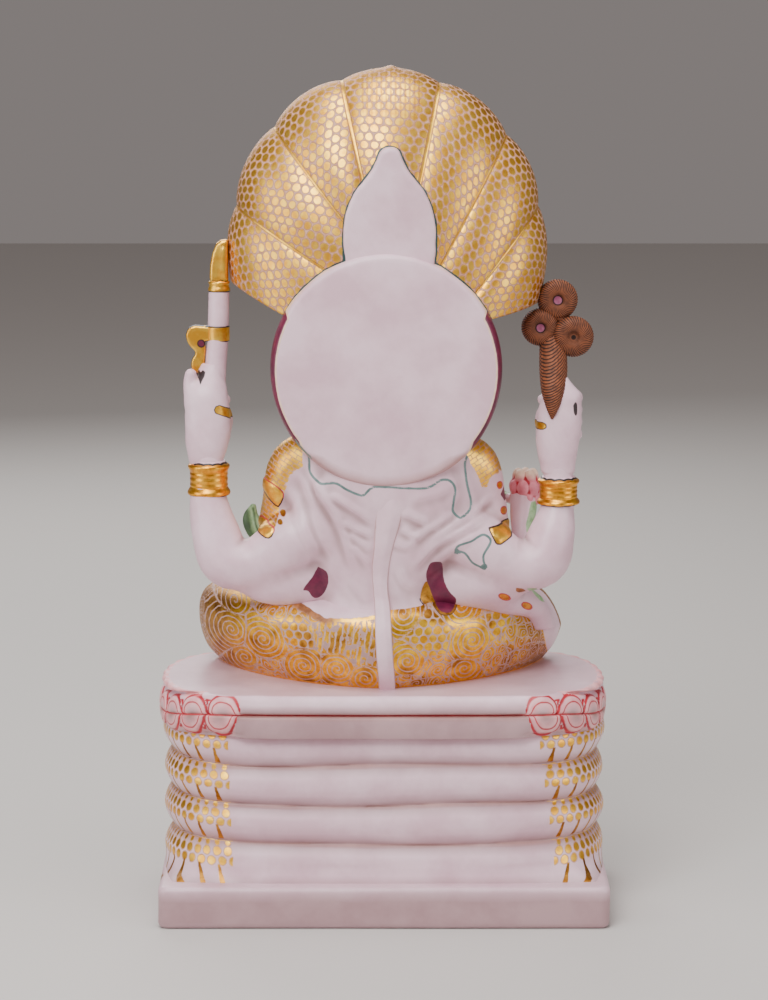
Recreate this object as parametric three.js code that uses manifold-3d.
// A marble figure of Padmavati, carved from one block together with its plinth.
// She sits cross-legged on a double lotus over a serpent coiled in four turns, with a
// halo and a fan of seven serpent hoods behind her head. Four arms: the raised pair holds
// a goad and a noose, the lowered pair a citron and a lotus bud.
// Units are millimetres. +Z is up, she faces -Y, and +X is her left.
// The origin is the centre of the plinth's underside.

import * as THREE from "three";
import { mergeVertices } from "three/addons/utils/BufferGeometryUtils.js";
import Module from "manifold-3d";

const wasm = await Module();
wasm.setup();

// Driving dimensions
const LEFT = 1;
const RIGHT = -1;
const PLINTH = { width: 400, depth: 220, height: 38, corner: 10, edge: 3 };
const COILS = {
  bottom: 36,
  top: 176,
  turns: 4,
  bulge: 10.5,
  foot: 2,
  halfWidth: 200,
  halfDepth: 98,
  centreY: -6,
  powerX: 6,
  powerY: 2,
};
const SEAT = {
  bottom: 171,
  waist: 192,
  top: 208,
  halfWidth: 201,
  halfDepth: 108,
  centreX: 1,
  centreY: -5,
  powerX: 6,
  powerY: 2,
};
const PETALS = { count: 26, depth: 5, backHalf: 138 };
const FIGURE_X = -3;
const LAP = { bottom: 206, centreX: 3, centreY: -75, halfWidth: 165, back: 152, front: 16 };
const HALO = { x: -2, z: 492.5, radiusX: 101, radiusZ: 103.5, back: 67, front: 50, bevel: 2 };
const CROWN_SLAB = { x: -5, back: 62.5, front: 44, base: 575, tip: 689.5, halfWidth: 40.5 };
const HOOD_RIM = { z: 597, radiusX: 141, radiusZ: 156, y: -15 };
const HOOD = { back: 60, thickness: 13, flute: 6, scallop: 5 };
// The eight edges of the seven hoods: the angle at the rim, and where the edge starts under the halo.
const HOOD_EDGES = [
  { angle: -13.5, x: 40, z: 517 },
  { angle: 13.5, x: 32, z: 570 },
  { angle: 43.5, x: 12, z: 596 },
  { angle: 73, x: 8, z: 612 },
  { angle: 109.5, x: -20, z: 606 },
  { angle: 140, x: -36, z: 561 },
  { angle: 166.5, x: -55, z: 530 },
  { angle: 197, x: -56, z: 520 },
];
const SERPENT_HEAD = { length: 36, width: 28, thickness: 19 };
const WRIST = { x: 157.5, y: 21, z: 392 };
const GOAD = { x: 148.5, radius: 9.5, bottom: 452, ring: 560, tip: 602.5, topY: -1 };
const NOOSE = { x: -151, bottom: 447, neck: 505, loop: 17.5, y: -2 };
const HEAD = { y: 10, chin: 456, brow: 512, top: 556, halfWidth: 35, halfDepth: 40 };
const CROWN = { y: 16, bottom: 541, tip: 686, radius: 40 };

const v3 = (x, y, z) => new THREE.Vector3(x, y, z);
const rad = THREE.MathUtils.degToRad;
const lerp = THREE.MathUtils.lerp;

// A closed three.js geometry as a solid, turned the right way out.
function solid(geometry) {
  const bare = geometry.clone();
  bare.deleteAttribute("normal");
  bare.deleteAttribute("uv");
  const merged = mergeVertices(bare, 1e-3);
  const corners = merged.index.array;
  const triVerts = new Uint32Array(corners.length);
  let kept = 0;
  for (let i = 0; i < corners.length; i += 3) {
    const [a, b, c] = [corners[i], corners[i + 1], corners[i + 2]];
    if (a === b || b === c || c === a) continue;
    triVerts.set([a, b, c], kept);
    kept += 3;
  }
  const vertProperties = merged.attributes.position.array;
  const make = (tris) => new wasm.Manifold(new wasm.Mesh({ numProp: 3, vertProperties, triVerts: tris }));
  const faces = triVerts.slice(0, kept);
  const made = make(faces);
  if (made.volume() > 0) return made;
  for (let i = 0; i < kept; i += 3) [faces[i + 1], faces[i + 2]] = [faces[i + 2], faces[i + 1]];
  return make(faces);
}

// A body through a row of rings with the same number of points, closed by a flat fan at each end.
function loft(rings) {
  const n = rings[0].length;
  const points = rings.flat();
  const middle = (ring) => ring.reduce((sum, p) => sum.add(p), v3(0, 0, 0)).divideScalar(n);
  points.push(middle(rings[0]), middle(rings[rings.length - 1]));
  const first = points.length - 2;
  const last = points.length - 1;
  const index = [];
  for (let r = 0; r < rings.length - 1; r += 1) {
    for (let i = 0; i < n; i += 1) {
      const j = (i + 1) % n;
      const [a, b, c, d] = [r * n + i, r * n + j, (r + 1) * n + i, (r + 1) * n + j];
      index.push(a, b, d, a, d, c);
    }
  }
  const end = (rings.length - 1) * n;
  for (let i = 0; i < n; i += 1) {
    const j = (i + 1) % n;
    index.push(first, j, i, last, end + i, end + j);
  }
  const geometry = new THREE.BufferGeometry().setFromPoints(points);
  geometry.setIndex(index);
  return solid(geometry);
}

// A limb: a smooth path through stations {at, r, flat}, with r across and r * flat along side.
function limb(stations, sides, steps, side = v3(0, 1, 0)) {
  const curve = new THREE.CatmullRomCurve3(stations.map((s) => v3(...s.at)), false, "centripetal");
  const rings = [];
  for (let k = 0; k <= steps; k += 1) {
    const t = k / steps;
    const along = t * (stations.length - 1);
    const i = Math.min(Math.floor(along), stations.length - 2);
    const share = along - i;
    const mix = (key, usual) => lerp(stations[i][key] ?? usual, stations[i + 1][key] ?? usual, share);
    const [r, flat] = [mix("r", 1), mix("flat", 1)];
    const centre = curve.getPoint(t);
    const tangent = curve.getTangent(t);
    const across = v3(0, 0, 0).crossVectors(tangent, side).normalize();
    const depth = v3(0, 0, 0).crossVectors(across, tangent).normalize();
    rings.push(
      Array.from({ length: sides }, (_, m) => {
        const a = (m / sides) * 2 * Math.PI;
        const point = centre.clone().addScaledVector(across, r * Math.cos(a));
        return point.addScaledVector(depth, r * flat * Math.sin(a));
      }),
    );
  }
  return loft(rings);
}

// An upright body: rings {z, x, y, rx, ry, power} that are superellipses in plan.
function upright(levels, sides) {
  return loft(
    levels.map(({ z, x = FIGURE_X, y, rx, ry, power = 2 }) =>
      Array.from({ length: sides }, (_, m) => {
        const [px, py] = superellipse((m / sides) * 2 * Math.PI, power);
        return v3(x + rx * px, y + ry * py, z);
      }),
    ),
  );
}

function superellipse(angle, powerX, powerY = powerX) {
  const bend = (value, power) => Math.sign(value) * Math.abs(value) ** (2 / power);
  return [bend(Math.cos(angle), powerX), bend(Math.sin(angle), powerY)];
}

// Angles from one angle to another that cut a superellipse into equal lengths.
function evenAngles(count, { halfWidth, halfDepth, powerX, powerY }, from, to) {
  const fine = 720;
  const lengths = [0];
  const angleAt = (k) => lerp(from, to, k / fine);
  const pointAt = (k) => {
    const [px, py] = superellipse(angleAt(k), powerX, powerY);
    return [halfWidth * px, halfDepth * py];
  };
  for (let k = 1; k <= fine; k += 1) {
    const [ax, ay] = pointAt(k - 1);
    const [bx, by] = pointAt(k);
    lengths.push(lengths[k - 1] + Math.hypot(bx - ax, by - ay));
  }
  return Array.from({ length: count }, (_, m) => {
    const wanted = (m / count) * lengths[fine];
    const k = Math.max(1, lengths.findIndex((length) => length >= wanted));
    const share = (wanted - lengths[k - 1]) / (lengths[k] - lengths[k - 1]);
    return lerp(angleAt(k - 1), angleAt(k), share);
  });
}

function ellipsoid(x, y, z, rx, ry, rz, around = 12, high = 8) {
  const ball = new THREE.SphereGeometry(1, around, high).rotateX(Math.PI / 2);
  return solid(ball.scale(rx, ry, rz).translate(x, y, z));
}

// A turned body about a vertical axis, from a profile of [radius, height] that starts and ends on it.
function turned(profile, x, y, z, around) {
  const points = profile.map(([r, h]) => new THREE.Vector2(r, h));
  return solid(new THREE.LatheGeometry(points, around).rotateX(Math.PI / 2).translate(x, y, z));
}

function plinth() {
  const { width, depth, height, corner, edge } = PLINTH;
  const [w, d] = [width / 2 - edge, depth / 2 - edge];
  const outline = new THREE.Shape();
  outline.moveTo(-w + corner, -d);
  outline.lineTo(w - corner, -d).quadraticCurveTo(w, -d, w, -d + corner);
  outline.lineTo(w, d - corner).quadraticCurveTo(w, d, w - corner, d);
  outline.lineTo(-w + corner, d).quadraticCurveTo(-w, d, -w, d - corner);
  outline.lineTo(-w, -d + corner).quadraticCurveTo(-w, -d, -w + corner, -d);
  const body = new THREE.ExtrudeGeometry(outline, {
    depth: height - 2 * edge,
    bevelThickness: edge,
    bevelSize: edge,
    bevelSegments: 1,
    curveSegments: 2,
  });
  return solid(body.translate(0, 0, edge));
}

// The serpent's four turns: one tall body whose side swells once for each turn.
function coils() {
  const { bottom, top, turns, bulge, foot, halfWidth, halfDepth, centreY, powerX, powerY } = COILS;
  const perTurn = 3;
  const angles = evenAngles(24, COILS, 0, 2 * Math.PI);
  const rings = [];
  for (let k = 0; k <= turns * perTurn; k += 1) {
    const inset = k === 0 ? foot : k % perTurn === 0 ? bulge : 0.5;
    const z = lerp(bottom, top, k / (turns * perTurn));
    rings.push(
      angles.map((a) => {
        const [px, py] = superellipse(a, powerX, powerY);
        return v3((halfWidth - inset) * px, centreY + (halfDepth - inset) * py, z);
      }),
    );
  }
  return loft(rings);
}

// The double lotus. Petals run round the front and the ends; the back is left plain.
function seat() {
  const { bottom, waist, top, halfWidth, halfDepth, centreX, centreY, powerX, powerY } = SEAT;
  const { count, depth, backHalf } = PETALS;
  const rows = [
    { z: bottom, inset: 10, petal: 0.2 },
    { z: bottom + 4, inset: 3, petal: 1 },
    { z: bottom + 14, inset: 1.5, lift: 4, petal: 0.9 },
    { z: waist, inset: 8, lift: 8, petal: 0 },
    { z: waist + 4, inset: 2.5, lift: 7, petal: 0.3 },
    { z: top, inset: 4, petal: 0.3 },
  ];
  const start = Math.acos((backHalf / halfWidth) ** (powerX / 2));
  const plain = [0, 1, 2].map((k) => ({ a: lerp(start, Math.PI - start, k / 3), dip: k ? 0.4 : 1, end: 0 }));
  const round = evenAngles(2 * count, SEAT, Math.PI - start, 2 * Math.PI + start);
  const petals = round.map((a, k) => ({ a, dip: k % 2 ? 0 : 1, end: k ? 1 : 0 }));
  return loft(
    rows.map(({ z, inset, petal, lift = 0 }) =>
      [...plain, ...petals].map(({ a, dip, end }) => {
        const [px, py] = superellipse(a, powerX, powerY);
        const out = inset + depth * petal * dip;
        return v3(centreX + (halfWidth - out) * px, centreY + (halfDepth - out) * py, z + lift * end);
      }),
    ),
  );
}

// The skirted lap, wide and thick at the knees and drawn to a blunt point at the back.
function lap() {
  const { bottom, centreX, centreY, halfWidth, back, front } = LAP;
  const sides = 20;
  const levels = [
    { z: bottom, s: 0.95, backPower: 1.5 },
    { z: bottom + 18, s: 0.99, backPower: 1.6 },
    { z: bottom + 42, s: 1.01, backPower: 1.7 },
    { z: bottom + 62, s: 0.99, backPower: 1.8 },
    { z: bottom + 75, s: 0.9, backPower: 1.8 },
    { z: bottom + 82, s: 0.7, backPower: 1.8 },
  ];
  return loft(
    levels.map(({ z, s, backPower }) =>
      Array.from({ length: sides }, (_, m) => {
        const a = (m / sides) * 2 * Math.PI;
        const rear = Math.sin(a) > 0;
        const [px, py] = superellipse(a, rear ? backPower : 2.4);
        return v3(centreX + halfWidth * s * px, centreY + (rear ? back : front) * s * py, z);
      }),
    ),
  );
}

// The hollow between the thighs, in front of the belly.
function lapHollow() {
  return ellipsoid(LAP.centreX, -84, LAP.bottom + 98, 62, 58, 34, 12, 8);
}

// The shins cross in front: the right foot lies on the left thigh, the left foot under the right knee.
function legs() {
  const base = LAP.bottom;
  const up = v3(0, 0, 1);
  const rightShin = limb(
    [
      { at: [-118, -66, base + 44], r: 29 },
      { at: [-62, -84, base + 42], r: 24 },
      { at: [0, -90, base + 46], r: 17 },
      { at: [40, -89, base + 55], r: 15, flat: 0.8 },
      { at: [72, -84, base + 63], r: 16, flat: 0.6 },
      { at: [92, -80, base + 64], r: 9, flat: 0.5 },
    ],
    8,
    9,
    up,
  );
  const leftShin = limb(
    [
      { at: [128, -64, base + 30], r: 28 },
      { at: [60, -90, base + 24], r: 22 },
      { at: [0, -94, base + 18], r: 16 },
      { at: [-44, -92, base + 14], r: 13 },
      { at: [-84, -92, base + 11], r: 12, flat: 0.7 },
    ],
    8,
    7,
    up,
  );
  return [rightShin, leftShin];
}

function torso() {
  return upright(
    [
      { z: 250, y: 20, rx: 78, ry: 50 },
      { z: 272, x: 2, y: 24, rx: 62, ry: 42 },
      { z: 290, x: 5, y: 25, rx: 50, ry: 36 },
      { z: 312, x: 3, y: 25, rx: 58, ry: 36, power: 2.2 },
      { z: 342, y: 24, rx: 78, ry: 38, power: 2.3 },
      { z: 375, y: 24, rx: 87, ry: 39, power: 2.4 },
      { z: 402, y: 25, rx: 86, ry: 37, power: 2.4 },
      { z: 424, y: 28, rx: 76, ry: 33, power: 2.2 },
      { z: 438, y: 30, rx: 48, ry: 28 },
      { z: 450, y: 26, rx: 24, ry: 23 },
      { z: 470, y: 20, rx: 21, ry: 22 },
    ],
    12,
  );
}

function bust() {
  return [LEFT, RIGHT].map((side) => ellipsoid(FIGURE_X + side * 29, -7, 374, 27, 25, 26, 8, 5));
}

// Folds of the shawl across the back, and its long end that hangs down the middle.
function shawl() {
  const fold = (from, to, r = 4, fall = 20) => {
    const at = ([x, z]) => [x, 61.5 - fall * (Math.abs(x) / 95) ** 2.2, z];
    const middle = [(from[0] + to[0]) / 2 + 2, (from[1] + to[1]) / 2 - 3];
    const stations = [from, middle, to].map((p, k) => ({ at: at(p), r: r * (k === 1 ? 1 : 0.6), flat: 0.8 }));
    return limb(stations, 5, 2);
  };
  const folds = [
    fold([62, 410], [26, 322], 4.5),
    fold([54, 390], [8, 366]),
    fold([42, 370], [8, 348]),
    fold([-14, 372], [-48, 356]),
    fold([-84, 360], [-16, 334], 4.5, 6),
    fold([-78, 344], [-20, 316], 4, 6),
  ];
  const tail = limb(
    [
      { at: [-5, 60, 396], r: 11, flat: 0.4 },
      { at: [1, 60, 340], r: 8.5, flat: 0.4 },
      { at: [3, 60, 294], r: 7, flat: 0.6 },
      { at: [2, 74, 262], r: 7, flat: 0.6 },
      { at: [1, 78, 236], r: 7, flat: 0.6 },
      { at: [-1, 77, 208], r: 8, flat: 0.6 },
    ],
    6,
    6,
  );
  return [...folds, tail];
}

// The end of the shawl that falls over the right hip to the seat.
function hipDrape() {
  return limb(
    [
      { at: [-46, 30, 292], r: 16 },
      { at: [-104, 18, 276], r: 20, flat: 0.8 },
      { at: [-142, -14, 258], r: 16, flat: 0.9 },
      { at: [-149, -30, 207], r: 14 },
    ],
    7,
    4,
  );
}

// Drapery that closes the space under each raised arm, with the waist pit cut into it.
function sideWeb(side) {
  return ellipsoid(side * 84, 26, 300, 48, 22, 24, 10, 6);
}

function waistPit(side) {
  const stations =
    side === LEFT
      ? [[66, 284], [59, 302], [56, 316]]
      : [[-68, 278], [-52, 296], [-50, 320]];
  const pit = stations.map(([x, z], k) => ({ at: [x, 58, z], r: k === 2 ? 6.5 : 8.5, flat: 1.6 }));
  return limb(pit, 6, 2);
}

// A raised arm. Its hand is closed, with the back of the hand to the rear.
function rearArm(side) {
  const { x, y, z } = WRIST;
  const tipShift = side === LEFT ? 9 : 3;
  const arm = limb(
    [
      { at: [side * 32, 24, 366], r: 26 },
      { at: [side * 80, 33, 338], r: 27 },
      { at: [side * 113, 33, 318], r: 22.5 },
      { at: [side * 140, 31, 319], r: 24 },
      { at: [side * 151, 27, 345], r: 21 },
      { at: [side * 157, 24, 372], r: 16.5 },
      { at: [side * x, y, z], r: 14 },
      { at: [side * x, y, z + 16], r: 15.5 },
    ],
    8,
    9,
    v3(0.2 * side, 1, 0.1),
  );
  const palm = upright(
    [
      { z: z + 6, x: side * (x - 0.5), y, rx: 15, ry: 12 },
      { z: z + 28, x: side * (x - 0.5), y: y - 1, rx: 20, ry: 14, power: 2.2 },
      { z: z + 56, x: side * x, y: y - 2, rx: 21, ry: 14.5, power: 2.3 },
      { z: z + 76, x: side * (x + 0.5), y: y - 3, rx: 19.5, ry: 13.5, power: 2.3 },
      { z: z + 84, x: side * (x + tipShift), y: y - 4, rx: 12, ry: 10 },
      { z: z + 90, x: side * (x + tipShift), y: y - 4, rx: 5, ry: 6 },
    ],
    8,
  );
  const curled = [0, 1, 2].map((k) =>
    limb(
      [
        { at: [side * (x + 15), y - 8, z + 72 - 15 * k], r: 7 },
        { at: [side * (x + 1), y - 21, z + 72 - 15 * k], r: 7 },
        { at: [side * (x - 18), y - 12, z + 69 - 15 * k], r: 5 },
      ],
      5,
      2,
      v3(0, 0, 1),
    ),
  );
  const lowered = side === LEFT ? 0 : 11;
  return [arm, palm, ...curled, bangle(side * (x - 1), y, z - 1 - lowered, side === LEFT ? 15 : 11.5)];
}

// A wide bangle with two rolled edges and a hollow band between them.
function bangle(x, y, z, half) {
  return turned(
    [
      [0, -half],
      [16, -half],
      [18.8, -0.67 * half],
      [16.8, 0],
      [18.8, 0.67 * half],
      [16, half],
      [0, half],
    ],
    x,
    y,
    z,
    10,
  );
}

// A lowered arm: shoulder, upper arm with an armlet, and a hand held forward at the waist.
function frontArm(side) {
  const outwards = v3(side, 0, 0);
  const arm = limb(
    [
      { at: [side * 58, 27, 422], r: 17 },
      { at: [side * 80, 22, 404], r: 22 },
      { at: [side * 88, 14, 372], r: 21 },
      { at: [side * 93, 4, 342], r: 19.5 },
      { at: [side * 94, -16, 326], r: 18 },
      { at: [side * 90, -44, 334], r: 15 },
      { at: [side * 86, -76, 354], r: 11 },
    ],
    7,
    8,
    outwards,
  );
  const ring = (a, b, r) => limb([{ at: a, r }, { at: b, r }], 8, 1, outwards);
  const armlet = ring([side * 86, 17, 388], [side * 88.5, 13, 372], 23.5);
  const cuff = ring([side * 91.5, -34, 330], [side * 88.5, -50, 338], 17.5);
  const palm = ellipsoid(side * 86, -80, 358, 14, 11, 14, 8, 5);
  const fingers = [0, 1, 2].map((k) =>
    limb(
      [
        { at: [side * (95 - 8.5 * k), -82, 364], r: 5.2 },
        { at: [side * (95 - 8.5 * k), -96, 372], r: 5 },
        { at: [side * (95 - 7.5 * k), -93, 386], r: 3.4 },
      ],
      5,
      2,
      outwards,
    ),
  );
  return [arm, armlet, cuff, palm, ...fingers];
}

function lotusBud() {
  const [x, y, petals] = [-128, -46, 6];
  const flower = loft(
    [
      { z: 356, r: 6 },
      { z: 362, r: 12 },
      { z: 373, r: 15 },
      { z: 383, r: 11 },
      { z: 388, r: 3 },
    ].map(({ z, r }) =>
      Array.from({ length: 2 * petals }, (_, k) => {
        const a = (k * Math.PI) / petals;
        const reach = r * (k % 2 ? 0.82 : 1.05);
        return v3(x + reach * Math.cos(a), y + reach * Math.sin(a), z);
      }),
    ),
  );
  const stem = limb(
    [
      { at: [x + 2, y, 364], r: 10 },
      { at: [x + 5, y + 14, 346], r: 10 },
      { at: [x + 8, y + 30, 326], r: 7 },
    ],
    7,
    2,
  );
  const spray = limb(
    [
      { at: [-96, -84, 368], r: 6 },
      { at: [x + 4, y, 362], r: 7 },
    ],
    6,
    1,
  );
  return [flower, stem, spray];
}

function citron() {
  const [x, y] = [86, -92];
  const fruit = turned(
    [
      [0, -13],
      [10, -9],
      [14, 0],
      [10, 10],
      [4, 15],
      [0, 20],
    ],
    x,
    y,
    376,
    8,
  );
  const leaf = limb(
    [
      { at: [104, -30, 332], r: 7, flat: 0.6 },
      { at: [121, -30, 344], r: 9, flat: 0.5 },
      { at: [119, -32, 358], r: 3, flat: 0.6 },
    ],
    5,
    3,
  );
  return [fruit, leaf];
}

// The goad: a round shaft with a ringed blade at its head and a flat hook at its side.
function goad() {
  const { x, radius, bottom, ring, tip, topY } = GOAD;
  const shaft = limb(
    [
      { at: [x, WRIST.y - 6, bottom], r: radius + 0.6 },
      { at: [x, topY, ring], r: radius - 0.4 },
    ],
    8,
    1,
  );
  const collar = turned(
    [
      [0, -5],
      [radius + 0.8, -5],
      [radius, 5],
      [0, 5],
    ],
    x - 1,
    topY,
    ring + 1,
    8,
  );
  const plate = (outline, thickness, y) =>
    solid(
      new THREE.ExtrudeGeometry(outline, {
        depth: thickness - 3,
        bevelThickness: 1.5,
        bevelSize: 1.2,
        bevelSegments: 1,
        curveSegments: 3,
      })
        .rotateX(Math.PI / 2)
        .translate(x, y + thickness / 2 - 1.5, ring),
    );
  const blade = new THREE.Shape();
  blade.moveTo(-10.5, 4);
  blade.lineTo(-10.5, tip - ring - 1.5).lineTo(-6, tip - ring - 1.2);
  blade.quadraticCurveTo(2, tip - ring - 6, 5, 22);
  blade.quadraticCurveTo(6, 12, 3, 4);
  const band = turned(
    [
      [0, -6.5],
      [radius + 1.2, -6.5],
      [radius + 1.2, 6.5],
      [0, 6.5],
    ],
    x,
    lerp(WRIST.y - 6, topY, 0.65),
    520,
    8,
  );
  const curl = limb(
    [
      { at: [x + 9, 5, 521], r: 6.5, flat: 0.8 },
      { at: [x + 19, 5, 523], r: 6.5, flat: 0.8 },
      { at: [x + 22, 5, 514], r: 5.5, flat: 0.9 },
      { at: [x + 16, 6, 502], r: 5.5, flat: 0.9 },
      { at: [x + 16.5, 8, 490], r: 6, flat: 0.9 },
      { at: [x + 16.5, 10, 482], r: 4.5, flat: 0.9 },
    ],
    6,
    7,
  );
  return [shaft, collar, plate(blade, 10, topY), band, curl];
}

// The noose: three coiled loops of rope over a thick stem that ends in a point on the hand.
function noose() {
  const { x, bottom, neck, loop, y } = NOOSE;
  const coil = (cx, cz, cy) =>
    solid(
      new THREE.LatheGeometry(
        [
          new THREE.Vector2(0, -5),
          new THREE.Vector2(loop * 0.5, -9),
          new THREE.Vector2(loop, -2),
          new THREE.Vector2(loop, 2),
          new THREE.Vector2(loop * 0.5, 9),
          new THREE.Vector2(0, 5),
        ],
        10,
      ).translate(cx, cy, cz),
    );
  const stem = limb(
    [
      { at: [-149.5, WRIST.y + 9, bottom], r: 1.5 },
      { at: [-150, WRIST.y + 2, bottom + 26], r: 10.5 },
      { at: [x, y + 8, neck], r: 11.5 },
      { at: [x - 2, y + 2, neck + 26], r: 12 },
    ],
    8,
    4,
  );
  return [coil(-154.5, 547, y - 2), coil(-138.8, 521, y + 2), coil(-167.5, 515, y + 3), stem];
}

function head() {
  const { y, chin, brow, top, halfWidth, halfDepth } = HEAD;
  const height = top - chin;
  const skull = upright(
    [
      { z: chin - 1, y: y - 11, rx: 8, ry: 10 },
      { z: chin + 4, y: y - 7, rx: 18, ry: 23 },
      { z: chin + 0.16 * height, y: y - 3, rx: 27, ry: 32 },
      { z: chin + 0.34 * height, y, rx: 33, ry: 37 },
      { z: brow, y, rx: halfWidth, ry: halfDepth },
      { z: top, y: y + 2, rx: 28, ry: 33 },
    ],
    12,
  );
  const faceY = y - halfDepth;
  const nose = limb(
    [
      { at: [FIGURE_X, faceY + 3, brow + 2], r: 2.6 },
      { at: [FIGURE_X, faceY - 1.5, brow - 12], r: 3.4 },
      { at: [FIGURE_X, faceY - 3, brow - 22], r: 5 },
      { at: [FIGURE_X, faceY + 5, brow - 25], r: 4 },
    ],
    5,
    3,
    v3(0, 1, 0.4),
  );
  const lips = ellipsoid(FIGURE_X, faceY + 5, chin + 21, 9.5, 4.5, 3.6, 6, 4);
  const sides = [LEFT, RIGHT].flatMap((side) => [
    ellipsoid(FIGURE_X + side * 13.5, faceY + 4, brow - 4.5, 8.5, 3.6, 4, 6, 4),
    ellipsoid(FIGURE_X + side * 35.5, y + 4, 496, 5, 9, 20, 6, 4),
    turned(
      [
        [0, -12],
        [9, -7],
        [5, 3],
        [0, 12],
      ],
      FIGURE_X + side * 38,
      y - 1,
      474,
      7,
    ),
  ]);
  return [skull, nose, lips, ...sides];
}

function crown() {
  const { y, bottom, tip, radius } = CROWN;
  const height = tip - bottom;
  const profile = [
    [0, 0],
    [radius, 0],
    [radius - 3, 0.14 * height],
    [radius + 1, 0.34 * height],
    [radius - 7, 0.46 * height],
    [radius - 10, 0.62 * height],
    [radius - 18, 0.68 * height],
    [radius - 21, 0.82 * height],
    [radius - 31, 0.88 * height],
    [0, height],
  ];
  const crests = [-48, 0, 48].map((turn) => {
    const a = rad(turn - 90);
    const reach = radius - 4;
    return ellipsoid(FIGURE_X + reach * Math.cos(a), y + reach * Math.sin(a), bottom + 30, 12, 7, 20, 6, 4);
  });
  return [turned(profile, FIGURE_X, y, bottom, 12), ...crests];
}

// The plain slab behind the crown, a pointed leaf when seen from the back.
function crownSlab() {
  const { x, back, front, base, tip, halfWidth: w } = CROWN_SLAB;
  const outline = new THREE.Shape();
  outline.moveTo(-w + 2, base);
  outline.lineTo(-w, tip - 82).quadraticCurveTo(-w - 1, tip - 54, -w + 10, tip - 39);
  outline.quadraticCurveTo(-w + 22, tip - 28, -13, tip - 14);
  outline.quadraticCurveTo(-9, tip - 1, 0, tip);
  outline.quadraticCurveTo(9, tip - 1, 13, tip - 14);
  outline.quadraticCurveTo(w - 22, tip - 28, w - 10, tip - 39);
  outline.quadraticCurveTo(w + 1, tip - 54, w, tip - 82).lineTo(w - 2, base);
  const depth = back - front;
  const slab = new THREE.ExtrudeGeometry(outline, { depth, bevelEnabled: false, curveSegments: 3 });
  return solid(slab.rotateX(Math.PI / 2).translate(x, back, 0));
}

function halo() {
  const { x, z, radiusX, radiusZ, back, front, bevel } = HALO;
  const disc = new THREE.LatheGeometry(
    [
      new THREE.Vector2(0, front),
      new THREE.Vector2(1, front),
      new THREE.Vector2(1, back - bevel),
      new THREE.Vector2(1 - bevel / radiusX, back),
      new THREE.Vector2(0, back),
    ],
    24,
  );
  return solid(disc.scale(radiusX, 1, radiusZ).translate(x, 0, z));
}

// A point of the hood fan: u runs from edge to edge across the lobes, t from the root to the rim.
function hoodPoint(u, t, inward) {
  const { back, flute, scallop } = HOOD;
  const lobe = Math.min(Math.floor(u), HOOD_EDGES.length - 2);
  const share = u - lobe;
  const [from, to] = [HOOD_EDGES[lobe], HOOD_EDGES[lobe + 1]];
  const angle = rad(lerp(from.angle, to.angle, share));
  const swell = Math.sin(Math.PI * share) ** 0.7 - 0.6;
  const out = Math.sin((t * Math.PI) / 2);
  const edge = scallop * swell * Math.min(1, t * 2.5) - inward * (0.25 + 0.75 * out);
  const rimX = FIGURE_X + (HOOD_RIM.radiusX + edge) * Math.cos(angle);
  const rimZ = HOOD_RIM.z + (HOOD_RIM.radiusZ + edge) * Math.sin(angle);
  const forward = (back - HOOD_RIM.y) * (1 - Math.cos((t * Math.PI) / 2));
  const y = back - inward * (1 - out) - forward + flute * swell * (1 - 0.6 * t);
  return v3(lerp(lerp(from.x, to.x, share), rimX, out), y, lerp(lerp(from.z, to.z, share), rimZ, out));
}

// The fan of hoods as one shell: each section runs out over the back and returns inside.
function hood() {
  const lobes = HOOD_EDGES.length - 1;
  const perLobe = 4;
  const rows = 4;
  const rings = [];
  for (let k = 0; k <= lobes * perLobe; k += 1) {
    const u = k / perLobe;
    const outer = Array.from({ length: rows + 1 }, (_, i) => hoodPoint(u, i / rows, 0));
    const inner = Array.from({ length: rows }, (_, i) => hoodPoint(u, 1 - i / rows, HOOD.thickness));
    rings.push([...outer, ...inner]);
  }
  return loft(rings);
}

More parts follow.
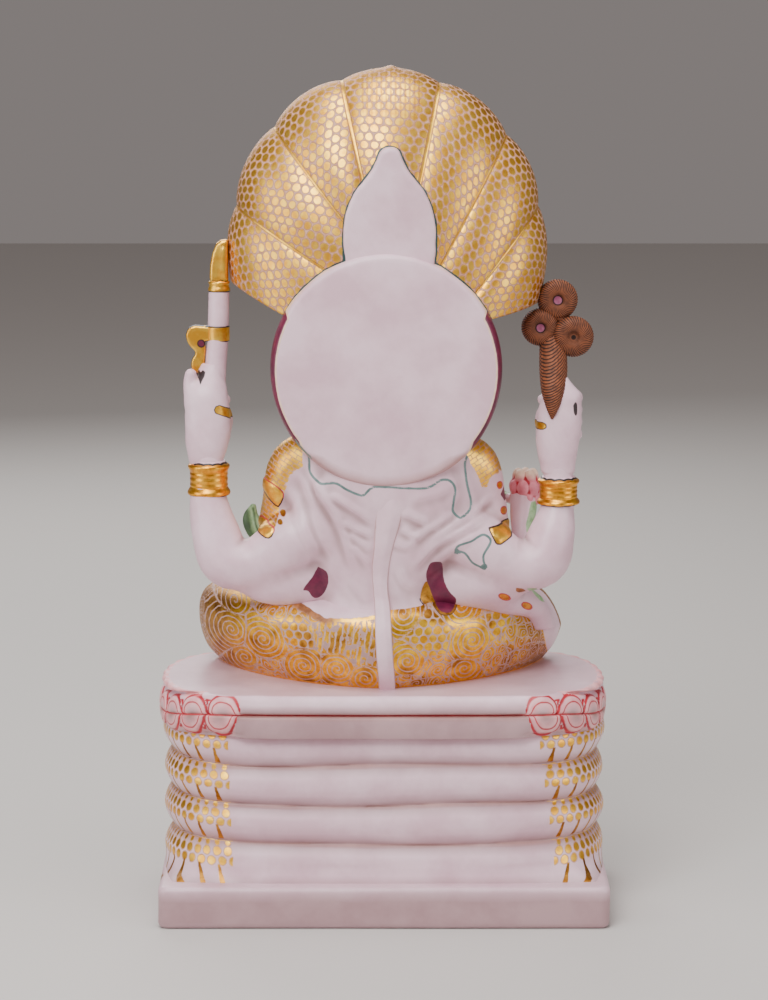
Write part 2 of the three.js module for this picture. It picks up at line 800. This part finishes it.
function serpentHeads() {
  const { length, width, thickness } = SERPENT_HEAD;
  return HOOD_EDGES.slice(1).map((edge, k) => {
    const a = rad((edge.angle + HOOD_EDGES[k].angle) / 2);
    const reach = -HOOD.thickness * 0.6;
    const [rx, rz] = [HOOD_RIM.radiusX + reach, HOOD_RIM.radiusZ + reach];
    const at = v3(FIGURE_X + rx * Math.cos(a), HOOD_RIM.y - 4, HOOD_RIM.z + rz * Math.sin(a));
    const inwards = v3(-Math.cos(a), 0, -Math.sin(a));
    const station = (forward, drop, r, flat) => {
      const p = at.clone().addScaledVector(inwards, drop);
      return { at: [p.x, p.y - forward, p.z], r, flat };
    };
    const snout = [
      station(-8, 0, width * 0.36, 0.55),
      station(length * 0.2, 1, width * 0.5, 0.6),
      station(length * 0.55, 5, width * 0.42, 0.62),
      station(length * 0.85, 10, width * 0.2, (0.6 * thickness) / width),
    ];
    return limb(snout, 6, 3, inwards);
  });
}

// A collar of beads close to the neck.
function necklace() {
  const stations = Array.from({ length: 7 }, (_, k) => {
    const a = rad(180 + k * 30);
    const sag = Math.sin((Math.PI * k) / 6) ** 1.5;
    return { at: [FIGURE_X + 34 * Math.cos(a), 24 + 38 * Math.sin(a), 438 - 26 * sag], r: 5 };
  });
  return limb(stations, 5, 8);
}

const marble = [
  plinth(),
  coils(),
  seat(),
  lap().subtract(lapHollow()),
  ...legs(),
  torso(),
  ...bust(),
  sideWeb(LEFT),
  sideWeb(RIGHT),
  ...shawl(),
  hipDrape(),
  ...rearArm(LEFT),
  ...rearArm(RIGHT),
  ...frontArm(LEFT),
  ...frontArm(RIGHT),
  necklace(),
  ...lotusBud(),
  ...citron(),
  ...goad(),
  ...noose(),
  ...head(),
  ...crown(),
  crownSlab(),
  halo(),
  hood(),
  ...serpentHeads(),
].reduce((whole, piece) => whole.add(piece));

const carved = [waistPit(LEFT), waistPit(RIGHT)].reduce((whole, pit) => whole.subtract(pit), marble);

// A joined solid back as a three.js geometry.
function geometryOf(manifold) {
  const mesh = manifold.getMesh();
  const positions = new Float32Array(mesh.numVert * 3);
  for (let i = 0; i < mesh.numVert; i += 1) {
    positions.set(mesh.vertProperties.subarray(i * mesh.numProp, i * mesh.numProp + 3), i * 3);
  }
  const geometry = new THREE.BufferGeometry();
  geometry.setAttribute("position", new THREE.BufferAttribute(positions, 3));
  geometry.setIndex(new THREE.BufferAttribute(new Uint32Array(mesh.triVerts), 1));
  geometry.computeVertexNormals();
  return geometry;
}

const marbleFinish = new THREE.MeshStandardMaterial({ color: 0xe4d8d6, roughness: 0.35, metalness: 0 });
const figure = new THREE.Mesh(geometryOf(carved), marbleFinish);
figure.name = "padmavati_figure";

const part = new THREE.Group();
part.add(figure);

export default part;
